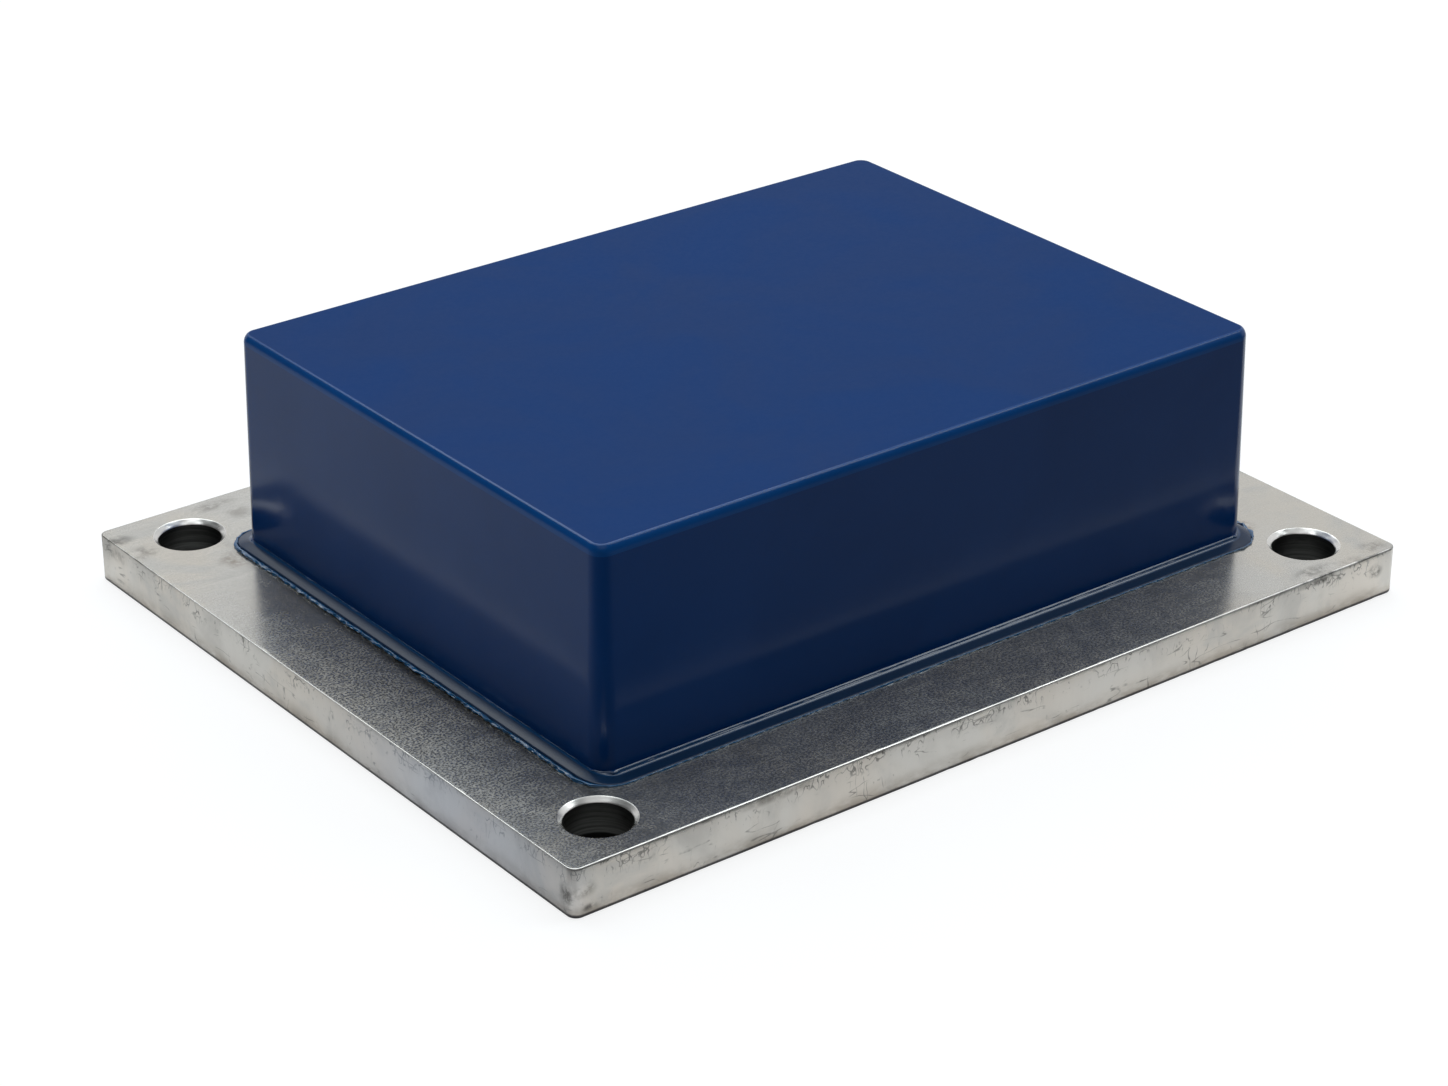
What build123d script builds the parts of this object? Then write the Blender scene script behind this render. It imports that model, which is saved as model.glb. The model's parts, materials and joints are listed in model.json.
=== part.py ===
from build123d import *
import os
from math import cos, radians, sin, tan

# Bonded polyurethane pad: a drafted elastomer block cast onto a steel base plate with four bolt
# holes. Sizes are in millimetres. The origin is at the centre of the plate's underside, +X runs
# along the plate's long side and +Z points from the plate up through the block.

# The bolt pattern is what the pad is fitted by, and both pieces take their place from it.
bolt_spacing_x = 172.0
bolt_spacing_y = 138.0
bolt_hole_diameter = 12.5
countersink_depth = 0.9
underside_deburr = 0.4

# Base plate: the metal that stands outside the bolt lines, and its edges.
bolt_to_plate_end = 14.0
bolt_to_plate_side = 12.0
plate_thickness = 10.0
plate_corner_radius = 2.0
plate_edge_break = 0.5

# Polyurethane block: its top stands inside the bolt lines, and its sides lean out to the foot.
bolt_to_block_end = 8.0
bolt_to_block_side = 10.0
block_height = 45.0
block_draft = 1.0  # degrees
block_corner_radius = 3.0
block_top_radius = 1.5

# Skirt: the thin lip of polyurethane that runs out over the plate round the block's foot.
skirt_width = 3.5
skirt_height = 1.4
skirt_lip_thickness = 0.3
skirt_lip_fall = 28.0  # degrees, the slope where the skirt's upper face meets its lip

cut_overrun = 1.0  # how far a cutter passes a face that it opens

plate_length = bolt_spacing_x + 2 * bolt_to_plate_end
plate_width = bolt_spacing_y + 2 * bolt_to_plate_side
block_length = bolt_spacing_x - 2 * bolt_to_block_end
block_width = bolt_spacing_y - 2 * bolt_to_block_side
draft_slope = tan(radians(block_draft))
foot_spread = block_height * draft_slope
foot_corner_radius = block_corner_radius + foot_spread


def bolt_hole_cutter():
    """One bolt hole as a solid to cut away: bore, countersink above and deburred edge below."""
    bore = bolt_hole_diameter / 2
    top = plate_thickness + cut_overrun
    outline = Polyline(
        (0, -cut_overrun),
        (bore + underside_deburr + cut_overrun, -cut_overrun),
        (bore, underside_deburr),
        (bore, plate_thickness - countersink_depth),
        (bore + countersink_depth + cut_overrun, top),
        (0, top),
        close=True,
    )
    return revolve(Plane.XZ * make_face(outline), axis=Axis.Z)


def steel_base_plate():
    """The flat bar plate, its edges lightly broken, with the four bolt holes through it."""
    plate = extrude(RectangleRounded(plate_length, plate_width, plate_corner_radius), plate_thickness)
    broken = plate.faces().sort_by(Axis.Z)
    plate = fillet(broken[0].edges() + broken[-1].edges(), plate_edge_break)
    return plate - GridLocations(bolt_spacing_x, bolt_spacing_y, 2, 2) * bolt_hole_cutter()


def block_foot():
    """The block's outline where it meets the plate, on the plate's top face."""
    length = block_length + 2 * foot_spread
    width = block_width + 2 * foot_spread
    return Pos(Z=plate_thickness) * RectangleRounded(length, width, foot_corner_radius)


def drafted_block():
    """The cast block on its foot outline: sides drafted inwards, top edge rounded."""
    block = extrude(block_foot(), block_height, taper=block_draft)
    return fillet(block.faces().sort_by(Axis.Z)[-1].edges(), block_top_radius)


def skirt_section():
    """The skirt's section: x runs outwards from the block's foot, y up from the plate.

    The upper face leaves the block's side with a crease and falls in a gentle arch, steepest at
    the lip, whose nose is rounded down to the plate. The inner end lies inside the block, so
    that the two join.
    """
    root = -foot_corner_radius / 2
    crease = (-skirt_height * draft_slope, skirt_height)
    nose_start = (skirt_width - skirt_lip_thickness, skirt_lip_thickness)
    nose_end = (skirt_width, 0)
    fall = radians(skirt_lip_fall)
    apron = TangentArc(nose_start, crease, tangent=(-cos(fall), sin(fall)))
    nose = TangentArc(nose_start, nose_end, tangent=(cos(fall), -sin(fall)))
    back = Polyline(crease, (root, skirt_height), (root, 0), nose_end)
    return make_face(apron + nose + back)


def skirt():
    """The skirt: its section carried once round the block's foot outline."""
    path = block_foot().wire()
    up = Vector(0, 0, 1)
    outwards = (path % 0).cross(up)
    if outwards.dot(path @ 0) < 0:
        outwards = -outwards
    start = Plane(origin=path @ 0, x_dir=outwards, z_dir=outwards.cross(up))
    return sweep(start * skirt_section(), path=path)


def polyurethane_block():
    """The whole casting, block and skirt in one piece, bonded to the plate's top face."""
    return drafted_block() + skirt()


nodes = {
    "steel_base_plate": steel_base_plate(),
    "polyurethane_block": polyurethane_block(),
}

os.makedirs("parts", exist_ok=True)
for name, piece in nodes.items():
    export_step(piece, f"parts/{name}.step")
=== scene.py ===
"""The looks of a bonded polyurethane pad: a cast blue block on a bare steel base plate.

Every size is in metres, in the row's frame: the origin is at the centre of the plate's underside,
+X runs along the plate's long side and +Z points up through the block.
"""

import itertools
import json
import logging
from collections.abc import Callable
from dataclasses import dataclass, field
from enum import IntEnum
from functools import partial, reduce
from math import cos, pi, radians, sin, tan
from typing import ClassVar

import bmesh
import bpy
import numpy as np
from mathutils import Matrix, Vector
from mathutils.geometry import delaunay_2d_cdt


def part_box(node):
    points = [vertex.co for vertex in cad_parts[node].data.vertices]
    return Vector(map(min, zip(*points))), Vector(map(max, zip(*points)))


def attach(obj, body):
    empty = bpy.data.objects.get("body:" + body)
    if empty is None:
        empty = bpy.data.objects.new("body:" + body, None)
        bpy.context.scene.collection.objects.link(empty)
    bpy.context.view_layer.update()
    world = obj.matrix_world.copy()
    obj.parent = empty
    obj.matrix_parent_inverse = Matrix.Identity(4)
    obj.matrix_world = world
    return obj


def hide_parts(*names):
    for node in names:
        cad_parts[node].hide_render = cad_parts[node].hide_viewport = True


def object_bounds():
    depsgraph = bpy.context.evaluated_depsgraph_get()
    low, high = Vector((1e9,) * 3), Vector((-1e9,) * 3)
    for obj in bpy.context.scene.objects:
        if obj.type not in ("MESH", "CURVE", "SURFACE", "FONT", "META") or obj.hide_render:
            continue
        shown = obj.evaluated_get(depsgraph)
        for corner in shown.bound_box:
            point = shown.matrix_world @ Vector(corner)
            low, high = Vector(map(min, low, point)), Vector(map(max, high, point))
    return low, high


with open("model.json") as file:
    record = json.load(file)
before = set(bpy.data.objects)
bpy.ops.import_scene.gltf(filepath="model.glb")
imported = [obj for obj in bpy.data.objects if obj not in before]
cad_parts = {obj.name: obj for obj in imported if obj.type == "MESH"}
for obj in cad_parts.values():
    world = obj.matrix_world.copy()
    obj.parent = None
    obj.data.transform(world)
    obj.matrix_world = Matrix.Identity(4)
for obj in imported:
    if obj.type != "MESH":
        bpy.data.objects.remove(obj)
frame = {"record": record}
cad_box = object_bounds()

MM = 0.001
Colour = tuple[float, float, float]
Point = tuple[float, float, float]
Span = tuple[float, float]
Ramp = tuple[float, float, float, float]
Socket = bpy.types.NodeSocket
Feed = float | Point | Socket
HASH_PRIMES = np.array([73856093, 19349663, 83492791])
SEED_PRIME = 2654435761
SCATTER_PRIME = 1274126177
LOW_BITS, ALL_BITS = 0xFFFF, 0xFFFFFFFF

logging.basicConfig(level=logging.INFO, format="%(name)s: %(message)s")
log = logging.getLogger("pad")


def shade(red: int, green: int, blue: int) -> Colour:
    """Turns a colour as a screen shows it into linear light, by the screen's curve.

    Args:
        red: the red part, 0 to 255.
        green: the green part.
        blue: the blue part.

    Returns:
        The three parts, each from 0 to 1.
    """
    return tuple(
        c / 12.92 if c <= 0.04045 else ((c + 0.055) / 1.055) ** 2.4
        for c in (red / 255, green / 255, blue / 255)
    )


def lattice_noise(points: np.ndarray, cell: float, seed: int) -> np.ndarray:
    """Smooth noise between -1 and 1: random values on a cubic lattice, blended across each cell.

    The blend is the sum over a cell's eight corners of the corner's value times the product of
    smoothstep weights along the three axes.

    Args:
        points: places, with x, y and z along the last axis.
        cell: the lattice's spacing.
        seed: picks the random values.

    Returns:
        One value for each place.
    """
    scaled = points / cell
    corner = np.floor(scaled).astype(np.int64)
    part = scaled - corner
    part = part * part * (3 - 2 * part)
    total = np.zeros(points.shape[:-1])
    for step in itertools.product((0, 1), repeat=3):
        at = corner + np.array(step)
        mixed = np.bitwise_xor.reduce(at * HASH_PRIMES, axis=-1) ^ seed * SEED_PRIME
        mixed = (mixed ^ (mixed >> 13)) * SCATTER_PRIME & ALL_BITS
        value = ((mixed ^ (mixed >> 16)) & LOW_BITS) / (LOW_BITS / 2) - 1
        total += value * np.prod(np.where(np.array(step) == 1, part, 1 - part), axis=-1)
    return total


def layered_noise(points: np.ndarray, cell: float, seed: int, layers: int = 3) -> np.ndarray:
    """Adds lattice noise of halving cell and height, so that large forms carry smaller ones.

    Args:
        points: places, with x, y and z along the last axis.
        cell: the largest layer's spacing.
        seed: picks the random values.
        layers: how many layers are added.

    Returns:
        One value for each place, about between -1 and 1.
    """
    heights = 0.5 ** np.arange(layers)
    parts = [
        height * lattice_noise(points, cell * height, seed + 7 * n) for n, height in enumerate(heights)
    ]
    return sum(parts) / heights.sum()


def ways(angle: np.ndarray) -> np.ndarray:
    """Unit vectors in a plane at some angles, one row for each."""
    return np.stack([np.cos(angle), np.sin(angle)], axis=1)


@dataclass(frozen=True)
class Ring:
    """A closed path seen from above: the centre of each stretch's bend, and which way is out."""

    core: np.ndarray
    outwards: np.ndarray

    def mixed(self, long_side: np.ndarray, end_side: np.ndarray) -> np.ndarray:
        """Mixes two profiles round the path.

        The profile at t is the long sides' plus the square of x of outwards(t) times what the
        ends' differs by.

        Args:
            long_side: the profile where the path faces along y, out and up.
            end_side: the profile where it faces along x.

        Returns:
            Points out and up, in rows along the profile and columns round the path.
        """
        share = self.outwards[None, :, :1] ** 2
        return long_side[:, None] * (1 - share) + end_side[:, None] * share

    def carry(self, across: np.ndarray, height: np.ndarray) -> np.ndarray:
        """Carries a profile round the path.

        The surface is core(t) + outwards(t) * across(s, t), raised by height(s, t), where t runs
        round the path and s along the profile.

        Args:
            across: distance out, in rows along the profile and columns round the path.
            height: height likewise, or in one column where it is the same all round.

        Returns:
            Points in the same rows and columns.
        """
        across, height = np.broadcast_arrays(across, height)
        flat = self.core[None] + self.outwards[None] * across[..., None]
        return np.concatenate([flat, height[..., None]], axis=2)


@dataclass(frozen=True)
class RoundedRectangle:
    """A rectangle about the origin with round corners."""

    half_x: float
    half_y: float
    radius: float

    def ring(self, spacing: float, corner_steps: int) -> Ring:
        """Places points round the rectangle.

        Each corner is an arc about its centre, stepped evenly by angle, and each side joins two
        corner centres in even steps with one direction out.

        Args:
            spacing: the distance between points on the sides.
            corner_steps: steps in each corner's quarter turn.

        Returns:
            The points, counter-clockwise from above, with the first not repeated.
        """
        signs = np.array([(1, -1), (1, 1), (-1, 1), (-1, -1)])
        centres = signs * (self.half_x - self.radius, self.half_y - self.radius)
        cores, angles = [], []
        for n, centre in enumerate(centres):
            start = (n - 1) * pi / 2
            turn = np.linspace(start, start + pi / 2, corner_steps, endpoint=False)
            side = centres[(n + 1) % 4] - centre
            steps = int(np.ceil(np.hypot(*side) / spacing))
            share = np.linspace(0, 1, steps, endpoint=False)
            cores += [np.repeat(centre[None], corner_steps, axis=0), centre + share[:, None] * side]
            angles += [turn, np.full(steps, start + pi / 2)]
        return Ring(np.concatenate(cores), ways(np.concatenate(angles)))


def circle(centre: Span, steps: int) -> Ring:
    """A ring whose core is one point, so that it carries a turned profile."""
    angle = np.linspace(0, 2 * pi, steps, endpoint=False)
    return Ring(np.tile(centre, (steps, 1)), ways(angle))


def arc(centre: Span, radius: float, start: float, end: float, steps: int) -> np.ndarray:
    """Points on an arc of a profile: the centre plus the radius at evenly stepped angles.

    Args:
        centre: the arc's centre, out and up.
        radius: its radius.
        start: the first angle in degrees, 0 pointing out and 90 up.
        end: the last angle in degrees.
        steps: how many steps it takes.

    Returns:
        The points, one row for each.
    """
    angle = np.radians(np.linspace(start, end, steps + 1))
    return np.array(centre) + radius * ways(angle)


def line(start: Span, end: Span, steps: int) -> np.ndarray:
    """Points on a straight stretch of a profile, without its two ends."""
    share = np.linspace(0, 1, steps + 1)[1:-1, None]
    return np.array(start) * (1 - share) + np.array(end) * share


class Skin:
    """Collects patches of surface and makes one closed mesh of them."""

    weld: ClassVar[float] = 1e-7
    sharp_over: ClassVar[float] = radians(50)

    def __init__(self) -> None:
        """Starts with no patches."""
        self.points: list[np.ndarray] = []
        self.faces: list[np.ndarray] = []
        self.slots: list[np.ndarray] = []
        self.count = 0

    def _add(self, points: np.ndarray, faces: np.ndarray, slot: int | np.ndarray) -> None:
        """Adds points and the faces between them.

        Args:
            points: the patch's points.
            faces: the numbers of each face's points, from 0 in this patch.
            slot: the material slot, or one for each face.
        """
        self.points.append(points)
        self.faces.append(faces + self.count)
        self.slots.append(np.broadcast_to(slot, len(faces)))
        self.count += len(points)

    def add_rows(self, rows: np.ndarray, slot: int | np.ndarray, turned: bool = False) -> None:
        """Adds a grid of points whose columns close into a ring.

        A point's number is its row times the number of columns, plus its column, and each face
        joins two neighbours in one row with the two below them.

        Args:
            rows: points in rows and columns. Rows that run downwards face out.
            slot: the material slot, or one for each strip between two rows.
            turned: True turns the faces the other way.
        """
        n_rows, n_columns = rows.shape[:2]
        row, column = np.meshgrid(np.arange(n_rows - 1), np.arange(n_columns), indexing="ij")
        beside = (column + 1) % n_columns
        corners = [row * n_columns + column, (row + 1) * n_columns + column]
        corners += [(row + 1) * n_columns + beside, row * n_columns + beside]
        faces = np.stack([c.ravel() for c in (corners[::-1] if turned else corners)], axis=1)
        strip = np.broadcast_to(slot, n_rows - 1)
        self._add(rows.reshape(-1, 3), faces, np.repeat(strip, n_columns))

    def add_flat(self, outer: np.ndarray, holes: list[np.ndarray], slot: int, downwards: bool) -> None:
        """Adds the level surface between an outer loop and the loops of its holes.

        It is a triangulation of all the loops, without the triangles whose centre is as near to
        the middle of a hole as the hole's first point is.

        Args:
            outer: the outer loop's points, counter-clockwise from above.
            holes: each hole's loop, the same way round.
            slot: the material slot.
            downwards: True where the surface faces down.
        """
        loops = [outer, *holes]
        starts = np.cumsum([0] + [len(loop) for loop in loops])
        numbers = [start + np.arange(len(loop)) for loop, start in zip(loops, starts)]
        edges = [pair for loop in numbers for pair in zip(loop.tolist(), np.roll(loop, -1).tolist())]
        borders = [numbers[0].tolist(), *(loop[::-1].tolist() for loop in numbers[1:])]
        flat = [Vector(point[:2]) for point in np.concatenate(loops)]
        found = delaunay_2d_cdt(flat, edges, borders, 2, 1e-9)
        places = np.array([(*point, outer[0, 2]) for point in found[0]])
        triangles = np.array(found[2])
        centres = places[triangles].mean(axis=1)
        outside = np.ones(len(centres), bool)
        for hole in holes:
            middle = hole.mean(axis=0)
            outside &= np.hypot(*(centres - middle)[:, :2].T) > np.hypot(*(hole[0] - middle)[:2])
        kept = triangles[outside]
        self._add(places, kept[:, ::-1] if downwards else kept, slot)

    def add_lid(
        self,
        loop: np.ndarray,
        rows: int,
        slot: int,
        rise: Callable[[np.ndarray], np.ndarray] | None = None,
        downwards: bool = False,
    ) -> None:
        """Closes a rounded rectangle by drawing its loop in to a ridge along its middle.

        A point is (1 - s) * loop(t) + s * ridge(t), where ridge(t) keeps the loop's x as far as
        the ridge reaches and has no y.

        Args:
            loop: the loop's points, counter-clockwise from above.
            rows: how many steps it takes to the ridge.
            slot: the material slot.
            rise: works out how far each point inside the loop is raised, from the points.
            downwards: True where the lid faces down.
        """
        reach = np.abs(loop[:, 0]).max() - np.abs(loop[:, 1]).max()
        ridge = np.stack([loop[:, 0].clip(-reach, reach), np.zeros(len(loop)), loop[:, 2]], axis=1)
        share = np.linspace(0, 1, rows + 1)[:, None, None]
        lid = loop * (1 - share) + ridge * share
        if rise is not None:
            lid[1:, :, 2] += rise(lid[1:])
        self.add_rows(lid, slot, turned=not downwards)

    def make(self, name: str, finishes: list[bpy.types.Material]) -> bpy.types.Object:
        """Makes the object at the origin, its seams welded and its shading smooth.

        Args:
            name: the object's name.
            finishes: the materials, in the order of the slots.

        Returns:
            The new object.
        """
        mesh = bpy.data.meshes.new(name)
        faces = list(itertools.chain(*(patch.tolist() for patch in self.faces)))
        mesh.from_pydata(np.concatenate(self.points).tolist(), [], faces)
        mesh.polygons.foreach_set("material_index", np.concatenate(self.slots).astype(np.int32))
        whole = bmesh.new()
        whole.from_mesh(mesh)
        bmesh.ops.remove_doubles(whole, verts=whole.verts, dist=self.weld)
        bmesh.ops.dissolve_degenerate(whole, edges=whole.edges, dist=self.weld)
        open_edges = sum(not edge.is_manifold for edge in whole.edges)
        whole.to_mesh(mesh)
        whole.free()
        mesh.shade_smooth()
        mesh.set_sharp_from_angle(angle=self.sharp_over)
        for finish in finishes:
            mesh.materials.append(finish)
        piece = bpy.data.objects.new(name, mesh)
        bpy.context.scene.collection.objects.link(piece)
        log.info("%s: %d faces, %d open edges", name, len(mesh.polygons), open_edges)
        return piece


class Graph:
    """A tree of shader nodes, with a short call for each kind that the finishes share."""

    def __init__(self, tree: bpy.types.NodeTree, place: str = "Object") -> None:
        """Empties the tree and takes the place's coordinates from one output.

        Args:
            tree: the node tree.
            place: the Texture Coordinate output that patterns are laid out by.
        """
        self.tree = tree
        self.tree.nodes.clear()
        self.place = tree.nodes.new("ShaderNodeTexCoord").outputs[place]

    def node(self, kind: str, settings: dict | None = None, **inputs: Feed) -> bpy.types.Node:
        """Adds a node.

        Args:
            kind: the node's type without its ShaderNode prefix.
            settings: attributes of the node to set.
            inputs: values or sockets for its inputs, by name with spaces as underscores.

        Returns:
            The node.
        """
        node = self.tree.nodes.new("ShaderNode" + kind)
        for key, value in (settings or {}).items():
            setattr(node, key, value)
        for key, value in inputs.items():
            self.plug(node.inputs[key.replace("_", " ")], value)
        return node

    def plug(self, socket: Socket, value: Feed) -> None:
        """Links another node's output to an input, or sets the input to a plain value.

        Args:
            socket: the input.
            value: the output, number or colour that it gets.
        """
        if isinstance(value, bpy.types.NodeSocket):
            self.tree.links.new(value, socket)
        elif isinstance(value, tuple) and socket.type == "RGBA":
            socket.default_value = (*value, 1.0)
        else:
            socket.default_value = value

    def maths(self, operation: str, *values: Feed) -> Socket:
        """Applies a Math operation.

        Args:
            operation: its name.
            values: the numbers or sockets that it works on.

        Returns:
            The result's socket.
        """
        node = self.node("Math", {"operation": operation})
        for socket, value in zip(node.inputs, values):
            self.plug(socket, value)
        return node.outputs[0]

    def product(self, *values: Feed) -> Socket:
        """Multiplies numbers and sockets, from the first to the last."""
        return reduce(partial(self.maths, "MULTIPLY"), values)

    def total(self, *values: Feed) -> Socket:
        """Adds numbers and sockets, from the first to the last."""
        return reduce(partial(self.maths, "ADD"), values)

    def stretched(self, scale: Point, shift: Point = (0, 0, 0)) -> Socket:
        """The place's coordinates, scaled and then shifted along each axis."""
        return self.node("Mapping", Vector=self.place, Scale=scale, Location=shift).outputs[0]

    def noise(
        self,
        scale: float,
        detail: float = 2,
        roughness: float = 0.5,
        where: Socket | None = None,
        bend: float = 0,
    ) -> Socket:
        """Fractal noise, about 0.5 on average.

        Args:
            scale: cells a metre, or a unit of the coordinates given.
            detail: how many finer layers it has.
            roughness: how strong the finer layers are.
            where: coordinates other than the place's own.
            bend: how far the noise is warped by itself.

        Returns:
            The noise's socket.
        """
        where = where or self.place
        node = self.node("TexNoise", Vector=where, Scale=scale, Detail=detail, Roughness=roughness)
        node.inputs["Distortion"].default_value = bend
        return node.outputs["Fac"]

    def between(
        self, value: Feed, low: float, high: float, to_low: float = 0.0, to_high: float = 1.0
    ) -> Socket:
        """Maps a value from one range to another by a smoothstep, held at the ends.

        Args:
            value: what is mapped.
            low: where the result starts, which may be above high.
            high: where the result ends.
            to_low: the result at low and past it.
            to_high: the result at high and past it.

        Returns:
            The result's socket.
        """
        node = self.node(
            "MapRange", {"interpolation_type": "SMOOTHSTEP"},
            Value=value, From_Min=low, From_Max=high, To_Min=to_low, To_Max=to_high,
        )
        return node.outputs[0]

    def blend(self, amount: Feed, first: Feed, second: Feed) -> Socket:
        """Mixes two colours: the first times 1 - amount, plus the second times the amount.

        Args:
            amount: the second colour's share, from 0 to 1.
            first: a colour or a socket.
            second: a colour or a socket.

        Returns:
            The mixed colour's socket.
        """
        node = self.node("Mix", {"data_type": "RGBA", "clamp_factor": True})
        self.plug(node.inputs[0], amount)
        for socket, colour in zip((s for s in node.inputs if s.type == "RGBA"), (first, second)):
            self.plug(socket, colour)
        return next(s for s in node.outputs if s.type == "RGBA")

    def axis(self, index: int) -> Socket:
        """One of the place's three coordinates."""
        return self.node("SeparateXYZ", Vector=self.place).outputs[index]

    def spot(self, centre: Point, reach: Point) -> Socket:
        """A mask that is 1 about a place and fades to 0 at a reach along each axis.

        It is a smoothstep of the length of (place - centre) / reach, from 1 down to a tenth.

        Args:
            centre: where it is full.
            reach: how far it reaches along x, y and z.

        Returns:
            The mask's socket.
        """
        squash = tuple(1 / r for r in reach)
        moved = self.stretched(squash, tuple(-c * s for c, s in zip(centre, squash)))
        length = self.node("VectorMath", {"operation": "LENGTH"}, Vector=moved).outputs["Value"]
        return self.between(length, 1.0, 0.1)

    def bump(
        self, height: Feed, distance: float, strength: float, normal: Socket | None = None
    ) -> Socket:
        """Turns a height between 0 and 1 into a bent normal.

        Args:
            height: the height.
            distance: how deep a height of 1 is.
            strength: how much of the bend shows.
            normal: a normal that is bent already.

        Returns:
            The normal's socket.
        """
        node = self.node("Bump", Height=height, Distance=distance, Strength=strength)
        if normal is not None:
            self.plug(node.inputs["Normal"], normal)
        return node.outputs[0]

    def choose(self, ray: str, otherwise: Socket, found: Socket) -> Socket:
        """Lets one kind of ray find a shader of its own.

        Args:
            ray: the kind of ray, as the Light Path node names it.
            otherwise: the shader that all other rays find.
            found: the shader that this kind finds.

        Returns:
            The socket of the shader that holds both.
        """
        node = self.node("MixShader")
        for socket, value in zip(node.inputs, (self.node("LightPath").outputs[ray], otherwise, found)):
            self.plug(socket, value)
        return node.outputs[0]

    def end(self, kind: str, shader: Socket) -> None:
        """Links a shader to the tree's output."""
        self.tree.links.new(shader, self.node(kind).inputs["Surface"])


def new_material(name: str) -> tuple[bpy.types.Material, Graph]:
    """Makes a material with nodes.

    Args:
        name: its name.

    Returns:
        The material, and the graph of its nodes.
    """
    material = bpy.data.materials.new(name)
    material.use_nodes = True
    return material, Graph(material.node_tree)


@dataclass(frozen=True)
class CastPolyurethane:
    """Cast polyurethane: deep blue, faintly clouded, with slow waves and a fine grain."""

    name: str
    colour: Colour
    roughness: float
    shine: float
    cloud: float = 0.06
    grain: float = 0.2

    def build(self) -> bpy.types.Material:
        """Makes the material: the colour and roughness swing with clouds, the normal with waves.

        Returns:
            The material.
        """
        material, g = new_material(self.name)
        clouds = g.between(g.noise(30, 4, 0.6, bend=0.5), 0.3, 0.7)
        specks = g.noise(1100, 2, 0.6)
        dark = tuple(c * (1 - self.cloud) for c in self.colour)
        pale = tuple(c * (1 + self.cloud) for c in self.colour)
        rough = g.between(clouds, 0, 1, self.roughness * 0.92, self.roughness * 1.08)
        waves = g.bump(g.noise(90, 2, 0.5), 0.0002, self.grain)
        shader = g.node(
            "BsdfPrincipled",
            Base_Color=g.blend(clouds, dark, pale),
            Roughness=g.product(rough, g.between(specks, 0.3, 0.7, 0.95, 1.05)),
            Normal=g.bump(specks, 0.00003, self.grain, waves),
            Specular_IOR_Level=self.shine,
        )
        g.end("OutputMaterial", shader.outputs[0])
        return material


@dataclass(frozen=True)
class Patch:
    """A patch of the steel: its place and reach in millimetres, and how strong it is."""

    place: Point
    reach: Point
    strength: float

    def mask(self, g: Graph) -> Socket:
        """The patch's strength at its place, which fades to 0 at its reach."""
        spot = g.spot(tuple(c * MM for c in self.place), tuple(c * MM for c in self.reach))
        return g.product(spot, self.strength)


@dataclass(frozen=True)
class Mark(Patch):
    """A patch with a tint of its own, broken up by noise where it is ragged."""

    tint: Colour
    ragged: bool = True


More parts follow.
